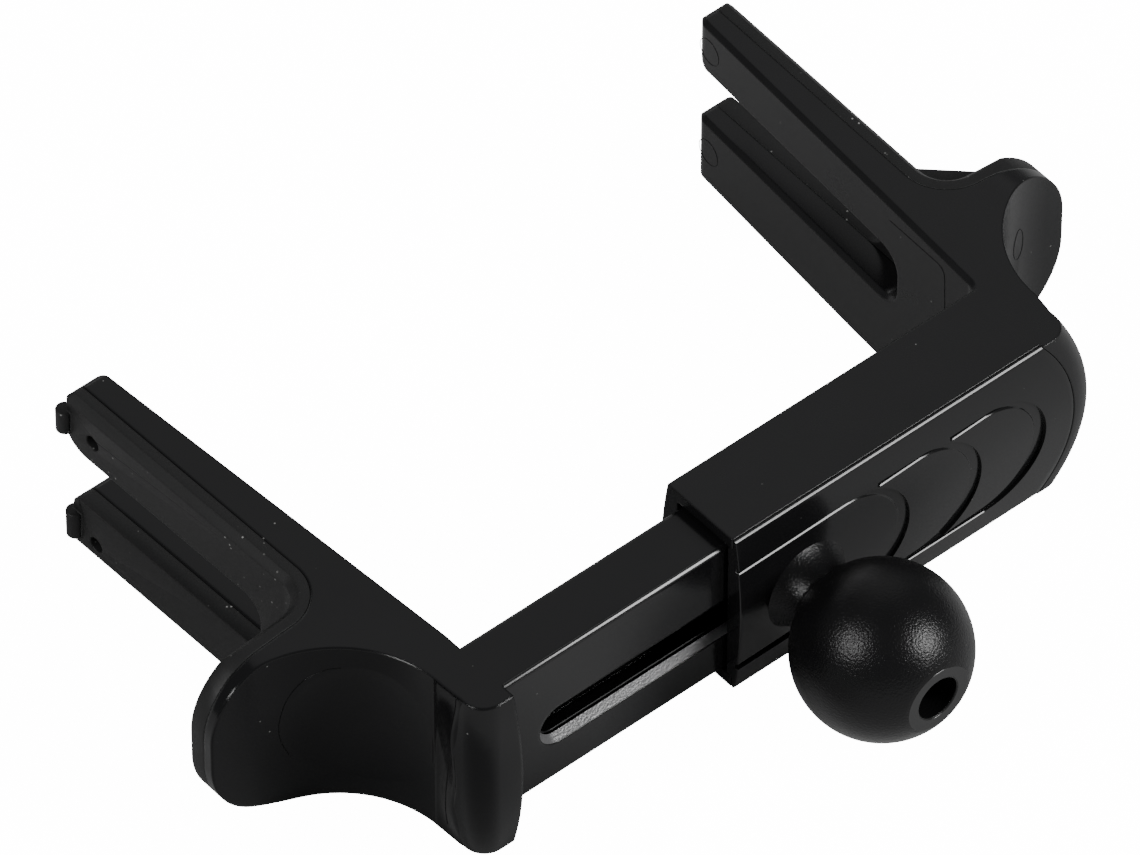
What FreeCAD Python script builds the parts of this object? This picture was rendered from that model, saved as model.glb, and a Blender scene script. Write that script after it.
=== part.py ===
import FreeCAD, Part
import math
import os
import re
import Sketcher

# Extending bracket that spreads two forked arms inside an air vent and carries a ball for a phone clamp.
# The origin is the centre of the ball. X runs along the bar, Y runs back from the ball to the
# fork tips, Z is up. All sizes are millimetres.

doc = FreeCAD.newDocument("vent_bracket")

SIZES = [
    # ball and its neck
    ("ball_diameter", 17.0, "standard ball of a phone clamp"),
    ("ball_end_flat", 7.7, "ball centre to the flat at its free end"),
    ("ball_bore", 4.0, "bore that takes the screw head"),
    ("ball_bore_floor", 1.5, "bore floor, in front of the ball centre"),
    ("neck_waist_radius", 3.5, "neck where it leaves the ball"),
    ("neck_foot_radius", 4.9, "neck foot on the front cover"),
    ("neck_flare_radius", 5.5, "concave flare of the neck"),
    ("neck_socket", 0.3, "depth of the round seat for the neck in the front cover"),
    # housing that the bar slides in
    ("ball_standoff", 11.1, "ball centre back to the housing's front edge"),
    ("sleeve_depth", 9.4, "housing, front edge to back edge"),
    ("sleeve_height", 19.9, "housing, top to bottom"),
    ("sleeve_top", 10.8, "housing top above the ball axis"),
    ("crown", 0.9, "bulge of the housing's front and back faces"),
    ("ball_to_mouth", 8.0, "ball axis to the mouth of the housing"),
    ("sleeve_length", 36.75, "mouth to the inner face of the right arm"),
    ("channel_overrun", 1.75, "channel past the inner face of the right arm"),
    ("sleeve_back_wall", 1.4, "wall behind the channel"),
    ("cover_lip", 0.45, "rim of the front cover, over the housing's walls"),
    ("cover_tongue", 0.55, "part of the front cover that fits between the walls"),
    ("cover_fit", 0.05, "gap round the front cover"),
    ("seam_inset", 0.15, "end of the cover past the arm's inner face, at the top"),
    ("seam_bulge", 3.4, "bulge of the cover's rounded end"),
    ("relief_depth", 0.5, "depth of each of the cover's three hollows at its right end"),
    ("relief_radius", 6.68, "half the height of a hollow"),
    ("relief_rise", 0.62, "centre line of the hollows above the ball axis"),
    ("relief_first", 12.4, "right end of the first hollow"),
    ("relief_second", 21.0, "right end of the second hollow"),
    ("relief_third", 28.75, "right end of the third hollow"),
    ("relief_overlap", 3.6, "start of a hollow before the right end of the one before it"),
    # sliding bar of the left arm
    ("bar_gap", 0.3, "gap between bar and housing, each side"),
    ("bar_height", 16.6, "bar, top to bottom"),
    ("bar_depth", 6.4, "bar, front to back"),
    ("bar_edge", 0.5, "rounding of the bar's long edges"),
    ("bar_wall", 1.3, "wall of the hollow bar"),
    ("bar_reach", 26.15, "mouth of the housing to the left arm, fully drawn out"),
    ("bar_inside", 14.0, "length of bar left in the housing, fully drawn out"),
    ("slot_height", 4.8, "slot along the bar"),
    ("slot_drop", 0.4, "centre of the slot below the ball axis"),
    ("slot_margin", 4.15, "left arm to the end of the slot"),
    ("slot_room_rise", 0.6, "room behind the slot, above the slot"),
    ("divider", 0.9, "wall between the slot's room and the spring's room"),
    ("spring_seat", 12.0, "mouth of the housing to the spring's seat in the bar"),
    ("slide_travel", 24.0, "way that the bar slides in"),
    # arms
    ("left_arm_drop", 1.6, "top of the left arm below the top of the housing"),
    ("arm_base", 10.6, "underside of both arms below the ball axis"),
    ("flare_in", 3.9, "degrees that the inner faces spread"),
    ("flare_out", 1.5, "degrees that the outer faces spread"),
    ("prong_width", 6.8, "arm thickness where the fork begins"),
    ("grip_thickness", 1.9, "soft grip on the outer side"),
    ("grip_bevel", 0.8, "bevel along the edges of the soft grip"),
    ("right_inset", 0.5, "right prongs' inner face past the end of the housing"),
    ("right_inner_fillet", 1.4, "fillet between the housing's back and the right arm"),
    ("inner_bevel", 0.45, "bevel along the inner edges of the right arm"),
    ("right_tip", 63.4, "ball centre back to the right fork tips"),
    ("left_tip", 65.8, "ball centre back to the left fork tips"),
    ("tip_round", 0.9, "rounding of the fork tips on their outer side, seen from above"),
    ("tip_round_in", 1.5, "rounding of the fork tips on their inner side, seen from above"),
    ("tip_round_low", 3.2, "rounding under each fork tip, seen from the side"),
    ("tip_round_high", 1.1, "rounding over each fork tip, seen from the side"),
    ("upper_prong", 6.4, "height of the upper prongs"),
    ("fork_gap", 6.5, "gap of the forks"),
    ("prong_rise", 0.7, "rise of the right arm's underside towards the fork tips"),
    ("left_lower_short", 1.0, "left lower prong short of the left upper prong"),
    ("fork_root", 32.6, "ball centre back to the root of the fork"),
    ("grip_fork_root", 38.6, "ball centre back to the root of the grip's fork"),
    ("fork_round", 2.2, "rounding of the fork's root"),
    # thumb tabs
    ("pad_radius", 12.2, "hollow of the thumb tab, seen from above"),
    ("pad_axis_out", 16.3, "axis of the hollow, out from the arm's inner face"),
    ("pad_axis_back", 16.4, "axis of the hollow, back from the ball centre"),
    ("right_tab_reach", 18.5, "right tab's end, out from the arm's inner face"),
    ("left_tab_reach", 20.7, "left tab's end, out from the arm's inner face"),
    ("tab_thickness", 3.7, "tab with its soft back, beside the fillet"),
    ("tab_thin", 0.7, "loss of thickness towards the tab's end"),
    ("tab_fillet", 3.1, "fillet between tab and prong"),
    ("right_tab_round", 8.4, "rounding of the right tab's upper corner"),
    ("left_tab_round", 7.0, "rounding of the left tab's upper corner"),
    ("tab_round_low", 9.4, "rounding of the tab's lower corner"),
    ("dish_shift", 1.9, "shift of the thumb dish into the hollow"),
    ("dish_radius", 10.7, "thumb dish, seen from above"),
    ("dish_height", 27.4, "half height of the ellipsoid that cuts the dish"),
    ("dish_angle", 142.0, "direction of the dish from the hollow's axis, degrees"),
    # rounded front corners
    ("right_corner_width", 3.7, "right corner past the arm's inner face, at the top"),
    ("right_corner_bulge", 2.7, "bulge of the right corner at mid height"),
    ("left_corner_width", 3.9, "left corner past the arm's inner face, at the top"),
    ("left_corner_bulge", 1.2, "bulge of the left corner at mid height"),
    ("left_corner_crown", 1.3, "bulge of the left corner's front face"),
    ("corner_round", 2.3, "rounding of the front corners, seen from above"),
    ("corner_heel", 2.7, "radius from the corner back to the thumb tab"),
    # screw, stop, spring and guide
    ("screw_diameter", 2.0, "machine screw through ball and cover"),
    ("screw_head_diameter", 3.7, "head of the screw"),
    ("screw_head_height", 2.0, "head of the screw"),
    ("screw_clearance", 0.1, "radial clearance of the screw in the ball"),
    ("nut_barrel_radius", 1.6, "barrel of the insert nut in the cover"),
    ("stop_radius", 1.8, "collar of the insert nut, which rides in the slot"),
    ("stop_length", 1.35, "collar of the insert nut behind the cover"),
    ("stop_gap", 0.25, "play between the collar and the end of the slot, fully drawn out"),
    ("spring_radius", 1.5, "mean radius of the spring"),
    ("wire_diameter", 0.45, "spring wire"),
    ("spring_turns", 8.0, "turns of the spring"),
    ("guide_radius", 0.75, "guide rod inside the spring"),
    ("guide_socket", 1.6, "depth of the rod's socket in the housing"),
    ("guide_gap", 1.5, "guide rod to the spring's seat, fully pushed in"),
    # grip details
    ("pin_hole", 0.8, "radius of the locating hole near each left grip tip"),
    ("pin_hole_back", 4.1, "locating hole before the grip's tip"),
    ("pin_hole_high", 3.6, "upper locating hole below the arm's top"),
    ("pin_hole_low", 2.4, "lower locating hole above the arm's underside"),
    ("barb_radius", 0.9, "upright rib at the tip of each left grip"),
    ("barb_back", 0.3, "middle of that rib before the prong's tip"),
    ("barb_margin", 1.85, "end of that rib to the prong's edge"),
]

sheet = doc.addObject("Spreadsheet::Sheet", "Sizes")
for row, (alias, value, note) in enumerate(SIZES, start=1):
    sheet.set("A%d" % row, alias)
    sheet.set("B%d" % row, repr(value))
    sheet.setAlias("B%d" % row, alias)
    sheet.set("C%d" % row, note)
doc.recompute()

# Places that follow from the sizes, each written once.
PLACES = {
    "mouth": "-ball_to_mouth",
    "right_face": "sleeve_length - ball_to_mouth",
    "left_face": "ball_to_mouth + bar_reach",
    "sleeve_front": "ball_standoff",
    "sleeve_back": "ball_standoff + sleeve_depth",
    "sleeve_bottom": "sleeve_top - sleeve_height",
    "sleeve_middle": "sleeve_top - sleeve_height / 2",
    "crown_arc": "((sleeve_height / 2)^2 + crown^2) / (2 * crown)",
    "lip_back": "ball_standoff + cover_lip",
    "cover_back": "ball_standoff + cover_lip + cover_tongue",
    "channel_back": "sleeve_back - sleeve_back_wall",
    "channel_end": "right_face + channel_overrun",
    "bar_top": "sleeve_top - left_arm_drop",
    "bar_bottom": "bar_top - bar_height",
    "bar_front": "cover_back + bar_gap",
    "bar_back": "bar_front + bar_depth",
    "bar_end": "mouth + bar_inside",
    "bar_middle": "bar_front + bar_depth / 2",
    "slot_top": "slot_height / 2 - slot_drop",
    "slot_bottom": "-slot_height / 2 - slot_drop",
    "chamber_top": "bar_top - bar_wall",
    "chamber_bottom": "bar_bottom + bar_wall",
    "chamber_front": "bar_front + bar_wall",
    "chamber_back": "bar_back - bar_wall",
    "seat": "mouth - spring_seat",
    "slot_room_top": "slot_top + slot_room_rise",
    "spring_room_bottom": "slot_room_top + divider",
    "spring_rise": "(spring_room_bottom + chamber_top) / 2",
    "guide_start": "seat + slide_travel + guide_gap",
    "pad_back": "pad_axis_back + pad_radius",
    "rear_in": "pad_back + tab_thickness",
    "rear_out": "pad_back + tab_thickness - tab_thin",
    "fillet_out": "prong_width + tab_fillet",
    "fillet_back": "rear_in + tab_fillet",
    "corner_slack": "bar_wall / 2",
    "cover_floor": "sleeve_front - crown + relief_depth",
    "neck_end": "cover_floor + neck_socket",
}
ALIASES = set(alias for alias, value, note in SIZES)


def bind(text):
    """Turn words of SIZES and PLACES into an expression that reads the sheet."""
    def swap(found):
        word = found.group(0)
        if word in PLACES:
            return "(" + bind(PLACES[word]) + ")"
        if word in ALIASES:
            return "Sizes." + word
        return word
    return re.sub(r"[a-z_]+", swap, str(text))


def number(text):
    """Value of an expression, for the first shape of a sketch and for loops."""
    value = sheet.evalExpression(bind(text))
    return float(getattr(value, "Value", value))


def arc_centre(start, end, radius, turn):
    """Centre of the arc from start to end; turn is 1 for anticlockwise and -1 for clockwise."""
    dx, dy = end[0] - start[0], end[1] - start[1]
    chord = math.hypot(dx, dy)
    rise = math.sqrt(max(radius * radius - chord * chord / 4, 0.0))
    middle = ((start[0] + end[0]) / 2, (start[1] + end[1]) / 2)
    return middle[0] - turn * dy / chord * rise, middle[1] + turn * dx / chord * rise


def add_wire(sketch, corners):
    """Closed outline. A corner is (x, y) after a line, or (x, y, radius, turn) after an arc."""
    points = [(number(corner[0]), number(corner[1])) for corner in corners]
    count = len(corners)
    first = sketch.GeometryCount
    ends = []
    for index, corner in enumerate(corners):
        start, end = points[index - 1], points[index]
        a = FreeCAD.Vector(start[0], start[1], 0)
        b = FreeCAD.Vector(end[0], end[1], 0)
        if len(corner) == 2:
            sketch.addGeometry(Part.LineSegment(a, b), False)
            ends.append((1, 2))
            continue
        radius, turn = number(corner[2]), corner[3]
        centre = arc_centre(start, end, radius, turn)
        circle = Part.Circle(FreeCAD.Vector(centre[0], centre[1], 0), FreeCAD.Vector(0, 0, 1), radius)
        low, high = (a, b) if turn > 0 else (b, a)
        sketch.addGeometry(Part.ArcOfCircle(circle, circle.parameter(low), circle.parameter(high)), False)
        ends.append((1, 2) if turn > 0 else (2, 1))
    for index, corner in enumerate(corners):
        here, following = first + index, first + (index + 1) % count
        sketch.addConstraint(Sketcher.Constraint(
            "Coincident", here, ends[index][1], following, ends[(index + 1) % count][0]))
        for axis, kind in enumerate(("DistanceX", "DistanceY")):
            place = sketch.addConstraint(Sketcher.Constraint(
                kind, -1, 1, here, ends[index][1], points[index][axis]))
            sketch.setExpression("Constraints[%d]" % place, bind(corner[axis]))
        if len(corner) > 2:
            place = sketch.addConstraint(Sketcher.Constraint("Radius", here, number(corner[2])))
            sketch.setExpression("Constraints[%d]" % place, bind(corner[2]))


def add_circle(sketch, x, y, radius):
    """Circle whose centre and radius follow the sheet."""
    index = sketch.GeometryCount
    circle = Part.Circle(FreeCAD.Vector(number(x), number(y), 0), FreeCAD.Vector(0, 0, 1), number(radius))
    sketch.addGeometry(circle, False)
    for kind, text in (("DistanceX", x), ("DistanceY", y)):
        place = sketch.addConstraint(Sketcher.Constraint(kind, -1, 1, index, 3, number(text)))
        sketch.setExpression("Constraints[%d]" % place, bind(text))
    place = sketch.addConstraint(Sketcher.Constraint("Radius", index, number(radius)))
    sketch.setExpression("Constraints[%d]" % place, bind(radius))


def new_sketch(body, name, plane, offset, wires=(), circles=()):
    """Sketch on one of the body's planes, moved along that plane's normal by offset."""
    sketch = body.newObject("Sketcher::SketchObject", name)
    origin = [item for item in body.Origin.OriginFeatures if item.Role == plane][0]
    sketch.AttachmentSupport = [(origin, "")]
    sketch.MapMode = "FlatFace"
    sketch.setExpression("AttachmentOffset.Base.z", bind(offset))
    for corners in wires:
        add_wire(sketch, corners)
    for x, y, radius in circles:
        add_circle(sketch, x, y, radius)
    sketch.Visibility = False
    return sketch


def pad(body, name, sketch, length):
    """Material from the sketch along its normal: up, towards the front, or to the right."""
    feature = body.newObject("PartDesign::Pad", name)
    feature.Profile = sketch
    feature.Refine = True
    feature.setExpression("Length", bind(length))
    doc.recompute()
    return feature


def pocket(body, name, sketch, length):
    """Cut from the sketch against its normal: down, towards the back, or to the left."""
    before = body.Shape.Volume
    feature = body.newObject("PartDesign::Pocket", name)
    feature.Profile = sketch
    feature.Refine = True
    feature.setExpression("Length", bind(length))
    doc.recompute()
    if not body.Shape.Volume < before - 1e-6:
        raise RuntimeError("%s cuts nothing" % name)
    return feature


def new_body(name):
    body = doc.addObject("PartDesign::Body", name)
    body.Label = name
    return body


def box_corners(left, right, low, high):
    """Rectangle as a closed outline."""
    return [(left, low), (right, low), (right, high), (left, high)]


def corner_cut(x, y, out_x, out_y, radius):
    """Sliver that rounds a square corner at (x, y); out_x and out_y are 1 or -1 and point outwards."""
    turn = out_x * out_y
    along = "%s - (%d) * %s" % (x, out_x, radius)
    across = "%s - (%d) * %s" % (y, out_y, radius)
    return [(x, y), (along, y), (x, across, radius, -turn)]


class Arm:
    """Places of one arm: out measures from its inner face, to the right or to the left."""

    def __init__(self, side, face, top, tip, tab_reach, tab_round, inset):
        self.side, self.face, self.top, self.tip = side, face, top, tip
        self.tab_reach, self.tab_round, self.inset = tab_reach, tab_round, inset

    def x(self, out):
        return "%d * (%s + %s)" % (self.side, self.face, out)

    def turn(self, value):
        return self.side * value

    def low(self):
        return "%s - upper_prong" % self.top

    def prong_out(self, less):
        """Outer face at the fork tips, less a thickness."""
        return "prong_width + (%s - fillet_back) * tan(flare_out) - %s" % (self.tip, less)

    def prong_in(self):
        return "%s + (%s - sleeve_back) * tan(flare_in)" % (self.inset, self.tip)


right_arm = Arm(1, "right_face", "sleeve_top", "right_tip", "right_tab_reach", "right_tab_round",
                "right_inset")
left_arm = Arm(-1, "left_face", "bar_top", "left_tip", "left_tab_reach", "left_tab_round", "0")


def arm_outline(arm, start):
    """Hard part of an arm seen from above: thumb hollow, tab, step for the grip, prong, inner face."""
    x, turn = arm.x, arm.turn
    outline = [
        (x("0"), start),
        (x("pad_axis_out - pad_radius - corner_slack"), start),
        (x("pad_axis_out - pad_radius"), "pad_axis_back"),
        (x("pad_axis_out"), "pad_back", "pad_radius", turn(-1)),
        (x(arm.tab_reach), "pad_back"),
        (x(arm.tab_reach), "rear_out - grip_thickness"),
        (x("fillet_out"), "rear_in - grip_thickness"),
        (x("prong_width - grip_thickness"), "fillet_back", "tab_fillet + grip_thickness", turn(-1)),
        (x(arm.prong_out("grip_thickness")), arm.tip),
        (x(arm.prong_in() + " + tip_round_in"), arm.tip),
        (x(arm.prong_in()), "%s - tip_round_in" % arm.tip, "tip_round_in", turn(1)),
    ]
    if arm.side > 0:
        outline += [
            (x(arm.inset), "sleeve_back + right_inner_fillet"),
            (x("%s - right_inner_fillet" % arm.inset), "sleeve_back", "right_inner_fillet", turn(-1)),
        ]
    return outline + [(x("0"), "sleeve_back")]


def grip_outline(arm):
    """Soft grip seen from above: a strip behind the tab, round the fillet and along the prong."""
    x, turn = arm.x, arm.turn
    return [
        (x(arm.tab_reach), "rear_out - grip_thickness"),
        (x(arm.tab_reach), "rear_out"),
        (x("fillet_out"), "rear_in"),
        (x("prong_width"), "fillet_back", "tab_fillet", turn(-1)),
        (x(arm.prong_out("0")), arm.tip),
        (x(arm.prong_out("grip_thickness")), arm.tip),
        (x("prong_width - grip_thickness"), "fillet_back"),
        (x("fillet_out"), "rear_in - grip_thickness", "tab_fillet + grip_thickness", turn(1)),
    ]


def bevel_inner_edges(body, arm, gap_low):
    """Bevel along the top of the inner face and round the fork's slot on that face."""
    source = body.Tip
    top, ledge = number(arm.top), number(gap_low)
    slope = math.tan(math.radians(number("flare_in")))
    start, inset = number("sleeve_back"), number("%s + %s" % (arm.face, arm.inset))
    chosen = []
    for index, edge in enumerate(source.Shape.Edges, start=1):
        ends = [vertex.Point for vertex in edge.Vertexes]
        inner = all(abs(arm.side * p.x - inset - (p.y - start) * slope) < number("inner_bevel") for p in ends)
        level = all(abs(p.z - top) < 1e-6 or abs(p.z - ledge) < 1e-6 for p in ends)
        if len(ends) == 2 and inner and level and edge.Length > number("fork_gap"):
            chosen.append("Edge%d" % index)
    bevel = body.newObject("PartDesign::Chamfer", body.Name + "_bevel")
    bevel.Base = (source, chosen)
    bevel.setExpression("Size", bind("inner_bevel"))
    doc.recompute()


def cut_fork(body, arm, root, bevel=False):
    """Slot between the prongs, their rounded tips and the rising underside, cut across the arm."""
    name = body.Name
    low, gap_low = arm.low(), "%s - fork_gap" % arm.low()
    beyond = "%s + tip_round" % arm.tip
    reach = "pad_radius + pad_axis_out"
    slot = [
        ("%s + fork_round" % root, gap_low),
        (beyond, gap_low),
        (beyond, low),
        ("%s + fork_round" % root, low),
        (root, "%s - fork_round" % low, "fork_round", 1),
        (root, "%s + fork_round" % gap_low),
    ]
    slot[0] = slot[0] + ("fork_round", 1)
    offset = "right_face + %s" % reach if arm.side > 0 else "-left_face + bar_wall"
    # The parts of the arm in front of the fork's root lie outside the slot, so one cut across is safe.
    across = reach + " + bar_wall"
    pocket(body, name + "_fork", new_sketch(body, name + "_fork_lines", "YZ_Plane", offset, [slot]), across)
    if bevel:
        bevel_inner_edges(body, arm, gap_low)
    tips = [
        corner_cut(arm.tip, arm.top, 1, 1, "tip_round_high"),
        corner_cut(arm.tip, low, 1, -1, "tip_round_low"),
    ]
    if arm.side > 0:
        tips.append(corner_cut(arm.tip, gap_low, 1, 1, "tip_round_high"))
    else:
        end = "%s - left_lower_short" % arm.tip
        tips.append([
            (end, "-arm_base - tip_round"),
            (beyond, "-arm_base - tip_round"),
            (beyond, gap_low),
            ("%s - tip_round_high" % end, gap_low),
            (end, "%s - tip_round_high" % gap_low, "tip_round_high", -1),
        ])
    pocket(body, name + "_tips", new_sketch(body, name + "_tip_sides", "YZ_Plane", offset, tips), across)
    if arm.side < 0:
        return
    rise = [
        ("fillet_back + tab_fillet", "-arm_base"),
        (beyond, "prong_rise - arm_base"),
        (beyond, "-arm_base - tip_round"),
        ("fillet_back + tab_fillet", "-arm_base - tip_round"),
    ]
    pocket(body, name + "_rise", new_sketch(body, name + "_rise_lines", "YZ_Plane", offset, [rise]), across)


def round_tab(body, arm):
    """Rounded end of the thumb tab, cut from front to back behind the front corner."""
    name = body.Name
    x = arm.x(arm.tab_reach)
    wires = [
        corner_cut(x, arm.top, arm.side, 1, arm.tab_round),
        corner_cut(x, "-arm_base", arm.side, -1, "tab_round_low"),
    ]
    sketch = new_sketch(body, name + "_tab_lines", "XZ_Plane", "-pad_axis_back", wires)
    pocket(body, name + "_tab_round", sketch, "pad_radius + tab_thickness + tab_fillet")


def cut_dish(body, arm):
    """Shallow dish for the thumb, from an ellipsoid that reaches just past the hollow."""
    dish = body.newObject("PartDesign::SubtractiveEllipsoid", body.Name + "_dish")
    dish.setExpression("Radius1", bind("dish_height"))
    dish.setExpression("Radius2", bind("dish_radius"))
    dish.setExpression("Radius3", bind("dish_radius"))
    origin = [item for item in body.Origin.OriginFeatures if item.Role == "XY_Plane"][0]
    dish.AttachmentSupport = [(origin, "")]
    dish.MapMode = "FlatFace"
    out = arm.x("pad_axis_out + dish_shift * cos(dish_angle)")
    dish.setExpression("AttachmentOffset.Base.x", bind(out))
    dish.setExpression("AttachmentOffset.Base.y", bind("pad_axis_back + dish_shift * sin(dish_angle)"))
    dish.setExpression("AttachmentOffset.Base.z", bind("(%s - arm_base) / 2" % arm.top))
    doc.recompute()


def add_corner(body, arm, low, crown, width, bulge, inside):
    """Front corner of an arm: a column lofted through five heights, fullest in the middle."""
    sections = []
    front = "sleeve_front"
    for step in (-1.0, -0.5, 0.0, 0.5, 1.0):
        full = 1 - step * step
        height = "(%s + %s) / 2 + %r * (%s - (%s)) / 2" % (arm.top, low, step, arm.top, low)
        face = "%s - %s * %r" % (front, crown, full)
        end = "%s + %s * %r" % (width, bulge, full)
        heel = "pad_axis_out - pad_radius"
        x, turn = arm.x, arm.turn
        corners = [
            (x(inside), face),
            (x("%s - corner_round" % end), face),
            (x(end), "%s + corner_round" % face, "corner_round", turn(1)),
            (x(end), "%s + corner_round + corner_slack" % front),
            (x(heel), "pad_axis_back", "corner_heel + %r * pad_radius" % (2 * (1 - full)), turn(1)),
            (x(inside), "pad_axis_back"),
        ]
        name = "%s_section_%d" % (body.Name, len(sections))
        sections.append(new_sketch(body, name, "XY_Plane", height, [corners]))
    doc.recompute()
    loft = body.newObject("PartDesign::AdditiveLoft", body.Name + "_corner")
    loft.Profile = sections[0]
    loft.Sections = sections[1:]
    loft.Ruled = False
    loft.Refine = True
    doc.recompute()


def seam_outline(gap, far):
    """End of the front cover: from far beyond it, or short of it, to its rounded seam."""
    arc = "((sleeve_height / 2)^2 + seam_bulge^2) / (2 * seam_bulge)"
    x = "right_face + seam_inset + %s" % gap
    turn = 1
    low, high = "sleeve_bottom - bar_wall", "sleeve_top + bar_wall"
    outline = [
        (far, low),
        (x, low),
        (x, "sleeve_bottom"),
        (x, "sleeve_top", arc, turn),
        (x, high),
        (far, high),
    ]
    return outline


def make_sleeve_arm():
    """Housing and right arm, one moulding: crowned tube, swollen corner, thumb tab and fork."""
    body = new_body("sleeve_arm")
    tube = [
        ("sleeve_front", "sleeve_bottom"),
        ("sleeve_back", "sleeve_bottom"),
        ("sleeve_back", "sleeve_top", "crown_arc", 1),
        ("sleeve_front", "sleeve_top"),
    ]
    tube[0] = tube[0] + ("crown_arc", 1)
    pad(body, "sleeve_tube", new_sketch(body, "tube_lines", "YZ_Plane", "mouth", [tube]),
        "sleeve_length")
    plan = arm_outline(right_arm, "sleeve_front + corner_round + corner_slack")
    pad(body, "right_arm", new_sketch(body, "right_arm_lines", "XY_Plane", "-arm_base", [plan]),
        "sleeve_top + arm_base")
    add_corner(body, right_arm, "sleeve_bottom", "crown", "right_corner_width",
               "right_corner_bulge", "-bar_wall")
    channel = box_corners("lip_back - cover_fit", "channel_back", "bar_bottom - bar_gap",
                          "bar_top + bar_gap")
    pocket(body, "channel", new_sketch(body, "channel_lines", "YZ_Plane", "channel_end", [channel]),
           "channel_end - mouth + bar_wall")
    recess = seam_outline("cover_fit", "mouth - bar_wall")
    pocket(body, "cover_recess",
           new_sketch(body, "recess_lines", "XZ_Plane", "-(sleeve_front - crown - bar_wall)", [recess]),
           "lip_back - sleeve_front + crown + bar_wall")
    cut_fork(body, right_arm, "fork_root", bevel=True)
    round_tab(body, right_arm)
    cut_dish(body, right_arm)
    socket = new_sketch(body, "rod_socket_lines", "YZ_Plane", "channel_end + guide_socket",
                        circles=[("bar_middle", "spring_rise", "guide_radius")])
    pocket(body, "rod_socket", socket, "guide_socket + bar_gap")
    return body


def make_slider_arm():
    """Hollow bar and left arm, one moulding: slotted bar with two chambers, corner, tab and fork."""
    body = new_body("slider_arm")
    front, back, low, high, edge = "bar_front", "bar_back", "bar_bottom", "bar_top", "bar_edge"
    bar = [
        ("%s + %s" % (front, edge), low),
        ("%s - %s" % (back, edge), low),
        (back, "%s + %s" % (low, edge), edge, 1),
        (back, "%s - %s" % (high, edge)),
        ("%s - %s" % (back, edge), high, edge, 1),
        ("%s + %s" % (front, edge), high),
        (front, "%s - %s" % (high, edge), edge, 1),
        (front, "%s + %s" % (low, edge)),
    ]
    bar[0] = bar[0] + (edge, 1)
    pad(body, "bar", new_sketch(body, "bar_lines", "YZ_Plane", "-left_face - bar_wall", [bar]),
        "bar_end + left_face + bar_wall")
    plan = arm_outline(left_arm, "sleeve_front + corner_round + corner_slack")
    pad(body, "left_arm", new_sketch(body, "left_arm_lines", "XY_Plane", "-arm_base", [plan]),
        "bar_top + arm_base")
    add_corner(body, left_arm, "-arm_base", "left_corner_crown", "left_corner_width",
               "left_corner_bulge", "0")
    spring_room = box_corners("chamber_front", "chamber_back", "spring_room_bottom", "chamber_top")
    pocket(body, "spring_room", new_sketch(body, "spring_room_lines", "YZ_Plane", "bar_end", [spring_room]),
           "bar_end - seat")
    slot_room = box_corners("chamber_front", "chamber_back", "chamber_bottom", "slot_room_top")
    pocket(body, "slot_room", new_sketch(body, "slot_room_lines", "YZ_Plane", "bar_end", [slot_room]),
           "bar_end + left_face - slot_margin + bar_wall")
    half = "slot_height / 2"
    left_end, right_end = "slot_margin - left_face", "stop_radius + stop_gap"
    slot = [
        ("%s + %s" % (left_end, half), "slot_bottom", half, 1),
        ("%s - %s" % (right_end, half), "slot_bottom"),
        (right_end, "-slot_drop", half, 1),
        ("%s - %s" % (right_end, half), "slot_top", half, 1),
        ("%s + %s" % (left_end, half), "slot_top"),
        (left_end, "-slot_drop", half, 1),
    ]
    pocket(body, "slot", new_sketch(body, "slot_lines", "XZ_Plane", "-(bar_front - bar_wall)", [slot]),
           "3 * bar_wall")
    cut_fork(body, left_arm, "fork_root")
    round_tab(body, left_arm)
    cut_dish(body, left_arm)
    return body


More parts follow.
